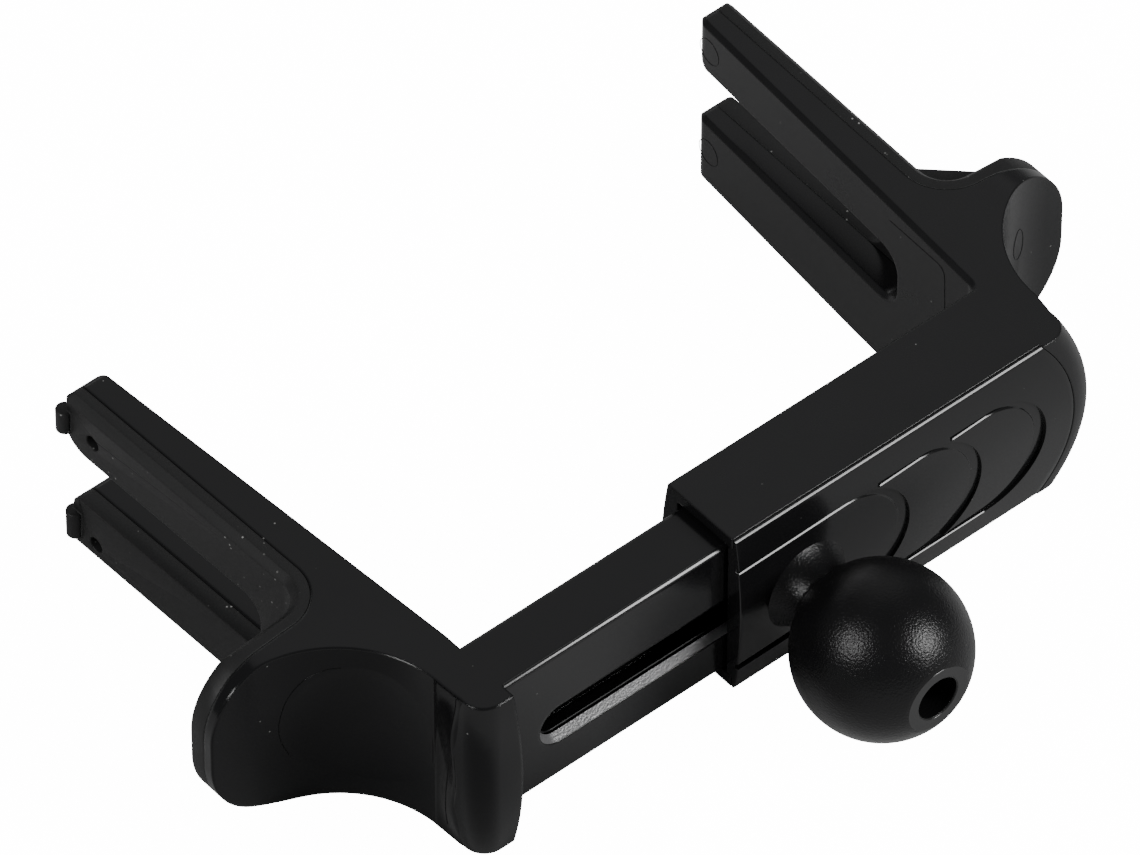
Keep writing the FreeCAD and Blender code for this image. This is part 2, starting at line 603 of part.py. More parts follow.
def make_grip(name, arm, barbs):
    """Soft grip bonded to the outer side of an arm, forked like it."""
    body = new_body(name)
    strip = pad(body, name + "_strip", new_sketch(body, name + "_lines", "XY_Plane", "-arm_base",
                                                  [grip_outline(arm)]), "%s + arm_base" % arm.top)
    # The bevel runs along the upper and lower edges of the strip's outer side.
    top, base = number(arm.top), -number("arm_base")
    outer = []
    for index, edge in enumerate(strip.Shape.Edges, start=1):
        middle = edge.CenterOfMass
        level = abs(middle.z - top) < 1e-6 or abs(middle.z - base) < 1e-6
        out = arm.side * middle.x - number(arm.face)
        behind = middle.y > number("rear_out") - 1e-6
        beside = out > number("prong_width") - 1e-3
        if level and behind and beside and edge.Length > number("grip_thickness") + 1e-3:
            outer.append("Edge%d" % index)
    bevel = body.newObject("PartDesign::Chamfer", name + "_bevel")
    bevel.Base = (strip, outer)
    bevel.setExpression("Size", bind("grip_bevel"))
    doc.recompute()
    tip = corner_cut(arm.x(arm.prong_out("0")), arm.tip, arm.side, 1, "tip_round")
    pocket(body, name + "_tip", new_sketch(body, name + "_tip_lines", "XY_Plane", arm.top, [tip]),
           "%s + arm_base" % arm.top)
    cut_fork(body, arm, "grip_fork_root")
    round_tab(body, arm)
    if barbs:
        gap_low = "%s - fork_gap" % arm.low()
        lower_tip = "%s - left_lower_short" % arm.tip
        for place, low, high, tip in (("upper", arm.low(), arm.top, arm.tip),
                                      ("lower", "-arm_base", gap_low, lower_tip)):
            rib = [(arm.x(arm.prong_out("0")), "%s - barb_back" % tip, "barb_radius")]
            lines = new_sketch(body, "%s_%s_rib_lines" % (name, place), "XY_Plane", low + " + barb_margin",
                               circles=rib)
            pad(body, "%s_%s_rib" % (name, place), lines, "%s - (%s) - 2 * barb_margin" % (high, low))
        holes = [
            ("%s - pin_hole_back" % arm.tip, "%s - pin_hole_high" % arm.top, "pin_hole"),
            ("%s - pin_hole_back" % arm.tip, "pin_hole_low - arm_base", "pin_hole"),
        ]
        sketch = new_sketch(body, name + "_hole_lines", "YZ_Plane", arm.x("prong_width - grip_thickness"),
                            circles=holes)
        pocket(body, name + "_holes", sketch, "3 * grip_thickness")
    return body


def make_cover():
    """Front cover: crowned plate with a rounded end and three hollows laid over each other like shingles."""
    plate = new_body("cover_plate")
    section = [
        ("sleeve_front", "sleeve_bottom"),
        ("lip_back", "sleeve_bottom"),
        ("lip_back", "sleeve_top"),
        ("sleeve_front", "sleeve_top"),
    ]
    section[0] = section[0] + ("crown_arc", 1)
    pad(plate, "plate", new_sketch(plate, "plate_lines", "YZ_Plane", "mouth", [section]),
        "sleeve_length + seam_inset + seam_bulge + bar_wall")
    beyond = seam_outline("0", "right_face + 2 * seam_bulge + 2 * bar_wall")
    pocket(plate, "plate_end", new_sketch(plate, "end_lines", "XZ_Plane",
                                          "-(sleeve_front - crown - bar_wall)", [beyond]),
           "lip_back - sleeve_front + crown + 2 * bar_wall")
    tongue = box_corners("mouth", "channel_end - cover_fit", "bar_bottom - bar_gap + cover_fit",
                         "bar_top + bar_gap - cover_fit")
    pad(plate, "tongue", new_sketch(plate, "tongue_lines", "XZ_Plane", "-cover_back", [tongue]),
        "cover_tongue + cover_fit")
    hole = new_sketch(plate, "nut_hole_lines", "XZ_Plane", "-(sleeve_front - crown - bar_wall)",
                      circles=[("0", "0", "nut_barrel_radius")])
    pocket(plate, "nut_hole", hole, "cover_back - sleeve_front + crown + 2 * bar_wall")
    seat = new_sketch(plate, "neck_seat_lines", "XZ_Plane", "-(sleeve_front - crown - bar_wall)",
                      circles=[("0", "0", "neck_foot_radius + cover_fit")])
    pocket(plate, "neck_seat", seat, "neck_end - sleeve_front + crown + bar_wall")

    # Each hollow starts level with the face and sinks to the right. The first is level all along.
    tools = []
    starts = ("mouth - bar_wall", "relief_first - relief_overlap", "relief_second - relief_overlap")
    ends = ("relief_first", "relief_second", "relief_third")
    for index, (start, end) in enumerate(zip(starts, ends), start=1):
        middle = "relief_rise"
        low, high = "%s - relief_radius" % middle, "%s + relief_radius" % middle
        stadium = [
            (start, low),
            ("%s - relief_radius" % end, low),
            (end, middle, "relief_radius", 1),
            ("%s - relief_radius" % end, high, "relief_radius", 1),
            (start, high),
        ]
        outline = new_body("relief_outline_%d" % index)
        pad(outline, "relief_pad_%d" % index,
            new_sketch(outline, "relief_lines_%d" % index, "XZ_Plane", "-lip_back", [stadium]),
            "crown + 2 * bar_wall")
        floor = new_body("relief_floor_%d" % index)
        ahead = "sleeve_front - crown - 2 * bar_wall"
        sections = []
        for place, depth in ((start, "relief_depth" if index == 1 else "0"), (end, "relief_depth")):
            hollow = [
                (ahead, "sleeve_bottom"),
                ("sleeve_front + %s" % depth, "sleeve_bottom"),
                ("sleeve_front + %s" % depth, "sleeve_top", "crown_arc", -1),
                (ahead, "sleeve_top"),
            ]
            lines = "floor_lines_%d_%d" % (index, len(sections))
            sections.append(new_sketch(floor, lines, "YZ_Plane", place, [hollow]))
        loft = floor.newObject("PartDesign::AdditiveLoft", "floor_loft_%d" % index)
        loft.Profile = sections[0]
        loft.Sections = sections[1:]
        loft.Ruled = True
        doc.recompute()
        tool = doc.addObject("Part::MultiCommon", "relief_tool_%d" % index)
        tool.Shapes = [outline, floor]
        tools.append(tool)
    relief = doc.addObject("Part::MultiFuse", "relief_tools")
    relief.Shapes = tools
    cover = doc.addObject("Part::Cut", "front_cover")
    cover.Base = plate
    cover.Tool = relief
    cover.Refine = True
    cover.Label = "front_cover"
    doc.recompute()
    return cover


def make_ball_stud():
    """Ball and flared neck, turned about the Y axis, with a stepped bore for the screw."""
    body = new_body("ball_stud")
    radius = "ball_diameter / 2"
    waist = "sqrt((%s)^2 - neck_waist_radius^2)" % radius
    flat = "sqrt((%s)^2 - ball_end_flat^2)" % radius
    shank = "screw_diameter / 2 + screw_clearance"
    profile = [
        ("ball_bore / 2", "-ball_bore_floor"),
        ("ball_bore / 2", "-ball_end_flat"),
        (flat, "-ball_end_flat"),
        ("neck_waist_radius", waist, radius, 1),
        ("neck_foot_radius", "cover_floor", "neck_flare_radius", -1),
        ("neck_foot_radius", "neck_end"),
        (shank, "neck_end"),
        (shank, "-ball_bore_floor"),
    ]
    sketch = new_sketch(body, "stud_profile", "XY_Plane", "0", [profile])
    turned = body.newObject("PartDesign::Revolution", "stud_turned")
    turned.Profile = sketch
    turned.ReferenceAxis = (sketch, ["V_Axis"])
    turned.Angle = 360
    doc.recompute()
    return body


def make_turned(name, profile):
    """Solid of revolution about the ball axis."""
    body = new_body(name)
    sketch = new_sketch(body, name + "_profile", "XY_Plane", "0", [profile])
    turned = body.newObject("PartDesign::Revolution", name + "_turned")
    turned.Profile = sketch
    turned.ReferenceAxis = (sketch, ["V_Axis"])
    turned.Angle = 360
    doc.recompute()
    return body


def make_spring():
    """Compression spring between the seat in the bar and the end of the channel."""
    length = "channel_end - seat - wire_diameter"
    helix = doc.addObject("Part::Helix", "spring_path")
    helix.setExpression("Height", bind(length))
    helix.setExpression("Pitch", bind("(%s) / spring_turns" % length))
    helix.setExpression("Radius", bind("spring_radius"))
    section = doc.addObject("Part::RegularPolygon", "spring_wire")
    section.Polygon = 4
    section.setExpression("Circumradius", bind("wire_diameter / 2"))
    section.setExpression("Placement.Base.x", bind("spring_radius"))
    section.Placement.Rotation = FreeCAD.Rotation(FreeCAD.Vector(1, 0, 0), 90)
    doc.recompute()
    spring = doc.addObject("Part::Sweep", "spring")
    spring.Sections = [section]
    spring.Spine = (helix, ["Edge1"])
    spring.Solid = True
    spring.Frenet = True
    spring.Label = "spring"
    spring.Placement.Rotation = FreeCAD.Rotation(FreeCAD.Vector(0, 1, 0), 90)
    spring.setExpression("Placement.Base.x", bind("seat + wire_diameter / 2"))
    spring.setExpression("Placement.Base.y", bind("bar_middle"))
    spring.setExpression("Placement.Base.z", bind("spring_rise"))
    doc.recompute()
    return spring


def make_guide_rod():
    """Steel rod, pressed into the end of the channel, that keeps the spring straight."""
    rod = doc.addObject("Part::Cylinder", "guide_rod")
    rod.Label = "guide_rod"
    rod.setExpression("Radius", bind("guide_radius"))
    rod.setExpression("Height", bind("channel_end + guide_socket - guide_start"))
    rod.Placement.Rotation = FreeCAD.Rotation(FreeCAD.Vector(0, 1, 0), 90)
    rod.setExpression("Placement.Base.x", bind("guide_start"))
    rod.setExpression("Placement.Base.y", bind("bar_middle"))
    rod.setExpression("Placement.Base.z", bind("spring_rise"))
    doc.recompute()
    return rod


screw_end = "cover_back + stop_length"
screw_profile = [
    ("0", "-ball_bore_floor - screw_head_height"),
    ("screw_head_diameter / 2", "-ball_bore_floor - screw_head_height"),
    ("screw_head_diameter / 2", "-ball_bore_floor"),
    ("screw_diameter / 2", "-ball_bore_floor"),
    ("screw_diameter / 2", screw_end),
    ("0", screw_end),
]
nut_profile = [
    ("screw_diameter / 2 + cover_fit", "neck_end"),
    ("nut_barrel_radius - cover_fit", "neck_end"),
    ("nut_barrel_radius - cover_fit", "cover_back"),
    ("stop_radius", "cover_back"),
    ("stop_radius", screw_end),
    ("screw_diameter / 2 + cover_fit", screw_end),
]

pieces = [
    make_sleeve_arm(),
    make_cover(),
    make_ball_stud(),
    make_turned("ball_screw", screw_profile),
    make_turned("stop_nut", nut_profile),
    make_slider_arm(),
    make_grip("right_grip", right_arm, False),
    make_grip("left_grip", left_arm, True),
    make_spring(),
    make_guide_rod(),
]
doc.recompute()

for item in doc.Objects:
    if "Invalid" in item.State or "Error" in item.State:
        raise RuntimeError("%s failed: %s" % (item.Name, item.State))
for piece in pieces:
    if piece.Shape.isNull() or not piece.Shape.isValid() or not piece.Shape.Solids:
        raise RuntimeError("%s has no valid solid" % piece.Label)

os.makedirs("parts", exist_ok=True)
for piece in pieces:
    piece.Shape.exportStep("parts/%s.step" % piece.Label)
    box = piece.Shape.BoundBox
    print("%-12s volume %9.2f  solids %d  x %.2f..%.2f  y %.2f..%.2f  z %.2f..%.2f" % (
        piece.Label, piece.Shape.Volume, len(piece.Shape.Solids),
        box.XMin, box.XMax, box.YMin, box.YMax, box.ZMin, box.ZMax))
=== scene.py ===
# %% [markdown]
# The object is a bracket for an air vent. Two forked arms spread behind the vent blades,
# and a 17 mm ball on the front carries a phone clamp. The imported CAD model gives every
# place, so this lesson only dresses it: finer surfaces, finishes, light and a camera.

# %% load the frame
import math
import bmesh
import bpy
import numpy as np
from mathutils import Matrix, Vector
from mathutils.bvhtree import BVHTree


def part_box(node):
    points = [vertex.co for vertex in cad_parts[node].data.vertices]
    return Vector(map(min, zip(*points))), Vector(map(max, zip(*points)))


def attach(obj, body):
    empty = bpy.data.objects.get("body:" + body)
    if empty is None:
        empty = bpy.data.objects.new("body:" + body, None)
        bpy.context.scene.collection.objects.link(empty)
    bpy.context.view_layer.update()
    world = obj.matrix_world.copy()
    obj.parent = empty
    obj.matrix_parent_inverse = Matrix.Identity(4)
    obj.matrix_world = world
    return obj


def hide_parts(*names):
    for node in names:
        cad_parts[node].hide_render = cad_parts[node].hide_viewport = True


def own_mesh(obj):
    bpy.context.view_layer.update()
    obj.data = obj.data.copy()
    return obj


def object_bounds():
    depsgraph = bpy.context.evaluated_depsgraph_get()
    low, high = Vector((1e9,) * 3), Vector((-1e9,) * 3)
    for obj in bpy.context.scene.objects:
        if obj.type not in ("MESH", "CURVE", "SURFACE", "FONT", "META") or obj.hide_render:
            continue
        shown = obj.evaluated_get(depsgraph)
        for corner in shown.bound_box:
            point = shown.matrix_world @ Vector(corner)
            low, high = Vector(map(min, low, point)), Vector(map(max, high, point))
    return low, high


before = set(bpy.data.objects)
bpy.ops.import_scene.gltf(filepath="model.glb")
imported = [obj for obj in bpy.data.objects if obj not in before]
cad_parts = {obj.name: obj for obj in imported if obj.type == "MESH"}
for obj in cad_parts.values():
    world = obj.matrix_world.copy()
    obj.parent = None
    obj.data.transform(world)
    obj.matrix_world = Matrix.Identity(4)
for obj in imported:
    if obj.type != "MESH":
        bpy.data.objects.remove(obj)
cad_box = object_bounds()
MM = 0.001
print("CAD box, mm:", [[round(float(v) / MM, 2) for v in corner] for corner in cad_box])

# %% [markdown]
# The photograph was taken from the front left, about 48 degrees above the object, with a
# long lens, so parallel edges stay nearly parallel. A camera is a position and three
# directions: right, up and forward. They follow from two angles, and the ball's place in
# the picture settles the rest. That is exact, while aiming by hand takes many tries.

# %% camera
PICTURE = (1140, 855)
TURN, HEIGHT = math.radians(40.35), math.radians(47.6)
DISTANCE = 1.3
FOCAL = 11.065 / MM * DISTANCE                       # in pixels of the picture
BALL = (881.9, 649.7)                                # ball centre in the picture
forward = Vector((math.sin(TURN) * math.cos(HEIGHT), math.cos(TURN) * math.cos(HEIGHT),
                  -math.sin(HEIGHT)))
right = Vector((math.cos(TURN), -math.sin(TURN), 0))
up = right.cross(forward)
aside = (BALL[0] - PICTURE[0] / 2) / FOCAL * DISTANCE
below = (BALL[1] - PICTURE[1] / 2) / FOCAL * DISTANCE
eye = -(forward * DISTANCE + right * aside - up * below)
SENSOR = 36.0                                        # width in mm
lens = bpy.data.cameras.new("photo_lens")
lens.sensor_width, lens.lens = SENSOR, FOCAL / PICTURE[0] * SENSOR
lens.clip_start, lens.clip_end = 0.05, 50
camera = bpy.data.objects.new("photo_camera", lens)
camera.matrix_world = Matrix((right, up, -forward)).transposed().to_4x4()
camera.location = eye
bpy.context.scene.collection.objects.link(camera)
bpy.context.scene.camera = camera
print("camera at", [round(v, 3) for v in eye], "lens", round(lens.lens, 1), "mm")

# %% [markdown]
# The picture shows the bracket on pure white. A wide pale floor just under the lowest edge
# gives that background from every side. It is the simplest grid of this lesson: points by
# row and column, and a list that says which four of them make each face.

# %% floor
def grid_faces(rows, columns, wrap_u=False, wrap_v=False):
    """Corner numbers of a grid's faces. A wrapped direction joins its last line to its first."""
    u, v = np.meshgrid(np.arange(rows if wrap_u else rows - 1),
                       np.arange(columns if wrap_v else columns - 1), indexing="ij")
    u2, v2 = (u + 1) % rows, (v + 1) % columns
    corners = [u * columns + v, u2 * columns + v, u2 * columns + v2, u * columns + v2]
    return np.stack(corners, -1).reshape(-1, 4)


FLOOR_REACH, FLOOR_LINES = 2.5, 5                    # metres from the object, lines each way
floor_height = float(cad_box[0][2]) - 0.05 * MM
span = np.linspace(-FLOOR_REACH, FLOOR_REACH, FLOOR_LINES)
floor_x, floor_y = np.meshgrid(span, span, indexing="ij")
floor_points = np.stack([floor_x, floor_y, np.full_like(floor_x, floor_height)], -1)
floor_mesh = bpy.data.meshes.new("floor")
floor_mesh.from_pydata(floor_points.reshape(-1, 3).tolist(), [],
                       grid_faces(FLOOR_LINES, FLOOR_LINES).tolist())
floor_mesh.shade_flat()
floor = bpy.data.objects.new("floor", floor_mesh)
bpy.context.scene.collection.objects.link(floor)
print("floor at", round(floor_height / MM, 2), "mm")

# %% [markdown]
# Near-black plastic shows almost no colour of its own. What the eye reads is the studio
# mirrored in it: bright lines along the rounded edges and soft greys on the faces. Two
# small bright panels do this. One at the front right lights the upper front edges and one
# side of the ball, the other lights the ball from the left. A large dim one stands where the
# flat tops mirror it, a long low one stands behind, and the rest of the room is darker still.

# %% lights
def soft_panel(name, toward, away, width, height, glow):
    """Rectangle of light, away metres off in a direction. glow is how bright its surface is."""
    place = Vector(toward).normalized() * away
    light = bpy.data.lights.new(name, "AREA")
    light.shape, light.size, light.size_y = "RECTANGLE", width, height
    light.energy = glow * math.pi * width * height
    panel = bpy.data.objects.new(name, light)
    facing = (-place).to_track_quat("-Z", "Y").to_matrix().to_4x4()
    panel.matrix_world = Matrix.Translation(place) @ facing
    bpy.context.scene.collection.objects.link(panel)
    print(name, "at", [round(v, 2) for v in place], round(light.energy, 1), "W")
    return panel


soft_panel("front_right_panel", (0.46, -0.72, 0.51), 2.0, 0.70, 0.62, 27)
soft_panel("left_panel", (-0.758, 0.068, 0.648), 2.0, 0.60, 0.50, 21)
soft_panel("sky_panel", (0.436, 0.514, 0.738), 2.0, 1.5, 1.5, 0.34)
soft_panel("back_panel", (0.25, 1.0, 0.42), 2.2, 1.6, 0.30, 1.2)
world = bpy.data.worlds.new("studio")
world.use_nodes = True
room = world.node_tree.nodes["Background"]
room.inputs["Color"].default_value = (0.97, 0.98, 1.0, 1)
room.inputs["Strength"].default_value = 0.16
bpy.context.scene.world = world

# %% [markdown]
# A finish is a small network of nodes. The moulded faces are satin with a very fine grain,
# so a noise of one or two tenths of a millimetre lifts the surface, by half a micron on
# smooth faces and by tens of microns on the ball. A second, broader noise varies tone and
# roughness as handling does, and rare bright specks are dust. One function builds the
# network, and each finish only gives its numbers. Real moulded edges are never razor
# sharp, so on the two arms a bevel node rounds the shading over a third to a half of a
# millimetre and leaves the mesh as it is.

# %% finishes
MICRON = 1e-6
HANDLING = 180                                       # scale of the broad noise, per metre
DUST_GREY = (0.35, 0.35, 0.34)


def plastic(name, colour, roughness, grain=0.09, lift=0.5, level=0.35, dust=0.25, edge=0.0, flow=0.04,
            cell=2.4, size=0.08):
    """Moulded plastic. Grain, edge, cell and size (of dust) in mm, lift in microns, dust 0 to 1."""
    material = bpy.data.materials.new(name)
    material.use_nodes = True
    nodes, links = material.node_tree.nodes, material.node_tree.links
    shader = nodes["Principled BSDF"]
    place = nodes.new("ShaderNodeTexCoord").outputs["Object"]
    fine, broad = nodes.new("ShaderNodeTexNoise"), nodes.new("ShaderNodeTexNoise")
    specks = nodes.new("ShaderNodeTexVoronoi")
    for node, scale in ((fine, 1 / (grain * MM)), (broad, HANDLING), (specks, 1 / (cell * MM))):
        node.inputs["Scale"].default_value = scale
        links.new(place, node.inputs["Vector"])
    fine.inputs["Detail"].default_value, broad.inputs["Detail"].default_value = 2, 4

    def spread(source, low, high, start=0.0, end=1.0):
        """A number from low to high while the source goes from start to end."""
        node = nodes.new("ShaderNodeMapRange")
        for socket, value in zip(("From Min", "From Max", "To Min", "To Max"), (start, end, low, high)):
            node.inputs[socket].default_value = value
        links.new(source, node.inputs["Value"])
        return node.outputs["Result"]

    def blend_colour(factor, low, high):
        """Colour between two: each is a triple or another node's colour."""
        node = nodes.new("ShaderNodeMix")
        node.data_type = "RGBA"
        links.new(factor, node.inputs["Factor"])
        for socket, value in (("A", low), ("B", high)):
            if isinstance(value, tuple):
                node.inputs[socket].default_value = (*value, 1)
            else:
                links.new(value, node.inputs[socket])
        return node.outputs["Result"]

    dark, light = tuple(c * 0.85 for c in colour), tuple(c * 1.15 for c in colour)
    tone = blend_colour(broad.outputs["Fac"], dark, light)
    speck = nodes.new("ShaderNodeMath")
    speck.operation = "MULTIPLY"
    dots = spread(specks.outputs["Distance"], dust, 0, 0.6 * size / cell, size / cell)
    links.new(dots, speck.inputs[0])
    links.new(spread(broad.outputs["Fac"], 0, 1, 0.45, 0.6), speck.inputs[1])
    links.new(blend_colour(speck.outputs["Value"], tone, DUST_GREY), shader.inputs["Base Color"])
    polish = spread(broad.outputs["Fac"], roughness - flow, roughness + flow)
    links.new(polish, shader.inputs["Roughness"])
    bump = nodes.new("ShaderNodeBump")
    bump.inputs["Strength"].default_value = 1
    bump.inputs["Distance"].default_value = lift * MICRON
    links.new(fine.outputs["Fac"], bump.inputs["Height"])
    if edge:
        bevel = nodes.new("ShaderNodeBevel")
        bevel.samples = 8
        bevel.inputs["Radius"].default_value = edge * MM
        links.new(bevel.outputs["Normal"], bump.inputs["Normal"])
    links.new(bump.outputs["Normal"], shader.inputs["Normal"])
    shader.inputs["Specular IOR Level"].default_value = level
    return material


housing_plastic = plastic("housing_plastic", (0.008, 0.008, 0.0084), 0.26,
                          edge=0.32, dust=0.5, size=0.11)
cover_plastic = plastic("cover_plastic", (0.007, 0.007, 0.0074), 0.16)
ball_plastic = plastic("ball_plastic", (0.006, 0.006, 0.0063), 0.26, grain=0.20, lift=52, level=0.25)
# The slot lining's base colour is much lighter grey than the black plastic. It is a painted highlight
# of the lit lower wall; its grain bump and roughness are real texture.
slot_highlight_plastic = plastic("slot_highlight_plastic", (0.11, 0.11, 0.112), 0.30, grain=0.2, lift=40, level=0.8)
slider_plastic = plastic("slider_plastic", (0.006, 0.006, 0.0064), 0.17,
                         edge=0.45, dust=0.5, size=0.11)
grip_rubber = plastic("grip_rubber", (0.011, 0.011, 0.0112), 0.5,
                      grain=0.14, lift=9, dust=0.8, cell=1.1, size=0.12)
facet_plastic = plastic("facet_plastic", (0.008, 0.008, 0.0084), 0.22, level=0.45)
dark_steel = plastic("screw_steel", (0.05, 0.05, 0.053), 0.32)
brass = plastic("nut_brass", (0.5, 0.36, 0.15), 0.3)
spring_steel = plastic("spring_steel", (0.45, 0.45, 0.47), 0.25)
rod_steel = plastic("rod_steel", (0.5, 0.5, 0.52), 0.2)
for metal in (dark_steel, brass, spring_steel, rod_steel):
    metal.node_tree.nodes["Principled BSDF"].inputs["Metallic"].default_value = 1

# %% [markdown]
# The floor is stage, not part of the object. The picture shows pure white behind the
# bracket, far brighter than what the black plastic mirrors. A photographer lights such a
# background by itself. Here the floor paint glows only for rays that come straight from a
# lens, so it looks white from every side without lighting the bracket from below. In the
# picture the left corner mirrors something dark, so the paint is darker on that side.

# %% floor paint
SPOT_SHADE = 0.36                                    # how much of the paint's tone the spot keeps


def white_floor(name, paint, glow, dark_spot):
    """Matte paint, darker round a spot (x, y, radius in mm), with a glow only for the lens."""
    material = bpy.data.materials.new(name)
    material.use_nodes = True
    nodes, links = material.node_tree.nodes, material.node_tree.links
    shader = nodes["Principled BSDF"]
    grain = nodes.new("ShaderNodeTexNoise")
    grain.inputs["Scale"].default_value = 900
    place = nodes.new("ShaderNodeTexCoord").outputs["Object"]
    links.new(place, grain.inputs["Vector"])
    ramp = nodes.new("ShaderNodeValToRGB")
    ramp.color_ramp.elements[0].color = (*[paint * 0.97] * 3, 1)
    ramp.color_ramp.elements[1].color = (*[paint] * 3, 1)
    links.new(grain.outputs["Fac"], ramp.inputs["Fac"])
    away = nodes.new("ShaderNodeVectorMath")
    away.operation = "DISTANCE"
    away.inputs[1].default_value = (dark_spot[0] * MM, dark_spot[1] * MM, floor_height)
    links.new(place, away.inputs[0])
    shade = nodes.new("ShaderNodeMapRange")
    shade.interpolation_type = "SMOOTHSTEP"
    for socket, value in (("From Min", 0.4 * dark_spot[2] * MM), ("From Max", dark_spot[2] * MM),
                          ("To Min", SPOT_SHADE), ("To Max", 1)):
        shade.inputs[socket].default_value = value
    links.new(away.outputs["Value"], shade.inputs["Value"])
    tone = nodes.new("ShaderNodeMix")
    tone.data_type, tone.blend_type = "RGBA", "MULTIPLY"
    tone.inputs["Factor"].default_value = 1
    links.new(ramp.outputs["Color"], tone.inputs["A"])
    links.new(shade.outputs["Result"], tone.inputs["B"])
    links.new(tone.outputs["Result"], shader.inputs["Base Color"])
    shader.inputs["Roughness"].default_value = 0.9
    shader.inputs["Specular IOR Level"].default_value = 0.1
    shader.inputs["Emission Color"].default_value = (1, 1, 1, 1)
    scaled = nodes.new("ShaderNodeMath")
    scaled.operation = "MULTIPLY"
    scaled.inputs[1].default_value = glow
    links.new(nodes.new("ShaderNodeLightPath").outputs["Is Camera Ray"], scaled.inputs[0])
    links.new(scaled.outputs["Value"], shader.inputs["Emission Strength"])
    return material


floor.data.materials.append(white_floor("floor_paint", 0.62, 15.0, (-56, 4, 40)))

# %% [markdown]
# The rigid mouldings keep their CAD shapes, which already follow the picture, and get the
# finishes above on their own material slots.

# %% dress the CAD nodes
def dress(node, material):
    """Give a CAD node a better finish on its own material slots."""
    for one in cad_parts[node].material_slots:
        one.material = material


for node, material in {"sleeve_arm": housing_plastic, "slider_arm": slider_plastic,
                       "stop_nut": brass, "guide_rod": rod_steel}.items():
    dress(node, material)

# %% [markdown]
# The front cover is a crowned plate with a rounded end. Three D-shaped scales lie in it one
# behind the other. Each sits in a sunk D of its own, starts level with the face at its left
# and sinks towards its right end, so a thin channel along its top opens into a crescent.
# Such a relief could be cut with booleans, which leaves hard, uneven edges. A height over
# a grid is better, if the grid's columns follow the arcs: then every wall is steep, and a
# narrow facet of 45 degrees beside it mirrors the front panel as one even bright line.

# %% cover sizes, mm
TOP, BOTTOM, FRONT, CROWN = 10.8, -9.1, 11.1, 0.9
MIDDLE, HALF = (TOP + BOTTOM) / 2, (TOP - BOTTOM) / 2
CROWN_ARC = (HALF ** 2 + CROWN ** 2) / (2 * CROWN)
SEAM_START, SEAM_BULGE = 28.9, 3.4
SEAM_ARC = (HALF ** 2 + SEAM_BULGE ** 2) / (2 * SEAM_BULGE)
MOUTH, LIP_BACK, TONGUE_BACK = -8.0, 11.40, 12.1
TONGUE_LOW, TONGUE_HIGH = -7.65, 9.45                # heights where the tongue starts and ends
SCALE_LINE = 0.62                                    # height of the scales' centre line
OUTER, INNER, SUNK = 6.68, 6.25, 0.40                # half heights of sunk D and scale, depth
CHANNEL_END = 22.2                                   # right end of the channel under the scales
STEEP = 0.02                                         # half the width of a steep wall
# each scale: start, end of the sunk D, end of the scale
SCALES = ((-30.0, 12.35, 11.35), (8.7, 21.1, 20.05), (17.45, 28.9, 27.9))


def crown_face(z):
    """Front face: a circle arc over the height, nearest the ball in the middle."""
    return FRONT - CROWN + CROWN_ARC - np.sqrt(CROWN_ARC ** 2 - (z - MIDDLE) ** 2)


def seam_end(z):
    """Right end of the cover: a circle arc, longest in the middle."""
    return SEAM_START + SEAM_BULGE - SEAM_ARC + np.sqrt(SEAM_ARC ** 2 - (z - MIDDLE) ** 2)


def inside_d(x, z, start, end, half):
    """Distance inside a D: its flat top, bottom and start are lines, its right end is an arc."""
    centre = end - half
    return np.minimum(half - np.hypot(np.maximum(x - centre, 0), z - SCALE_LINE), x - start)


def wall(inside):
    """0 outside and 1 inside, with a steep change between."""
    return np.interp(inside, [-STEEP, STEEP], [0, 1])


def facet_in(inside):
    """Drop from a scale's face at its edge: a facet of 45 degrees, then steep to the bed."""
    return np.interp(inside, [-STEEP, STEEP, 0.14, 0.17], [SUNK, 0.13, 0.01, 0])


def facet_out(inside):
    """Lower edge of a channel: a facet of 45 degrees down from the face, then steep."""
    return np.interp(inside, [-0.14, -0.11, -STEEP, STEEP], [0, 0.02, 0.26, 1])


def sunk(x, z):
    """Depth of the relief: the sunk D's with their scales, the left one over the next, and one
    channel that runs along all their bottoms."""
    low = SCALE_LINE - OUTER
    strip = np.minimum(low + OUTER - INNER - z, CHANNEL_END - x)
    depth = SUNK * np.minimum(wall(strip), facet_out(z - low))
    for start, end, scale_end in SCALES[::-1]:
        left = max(start, MOUTH)
        slope = np.clip((x - left) / (scale_end - left), 0, 1)
        level = 0.10 * (start < MOUTH) * (1 - slope) + 0.8 * SUNK * slope
        bed = np.minimum(SUNK, level + facet_in(inside_d(x, z, start - 1, scale_end, INNER)))
        depth = depth + (bed - depth) * wall(inside_d(x, z, start, end, OUTER))
    return depth


print("seam at mid height", round(float(seam_end(MIDDLE)), 2), "mm; crown", CROWN, "mm")

# %% [markdown]
# The grid's rows gather at the four straight lines of the relief and at the outer edges.
# Its columns are arcs with the same centres as the D's, a little wider and narrower, and
# spread evenly between them. Above and below the arcs the columns run straight on.

# %% cover grid
GAPS = np.array([0.02, 0.07, 0.11, 0.14, 0.17, 0.2, 0.3])
GAPS = np.concatenate([-GAPS[::-1], GAPS])           # neighbours on both sides of a line, mm


def near(places):
    """Places with a cluster of neighbours round each."""
    return np.add.outer(np.asarray(places, float), GAPS).ravel()


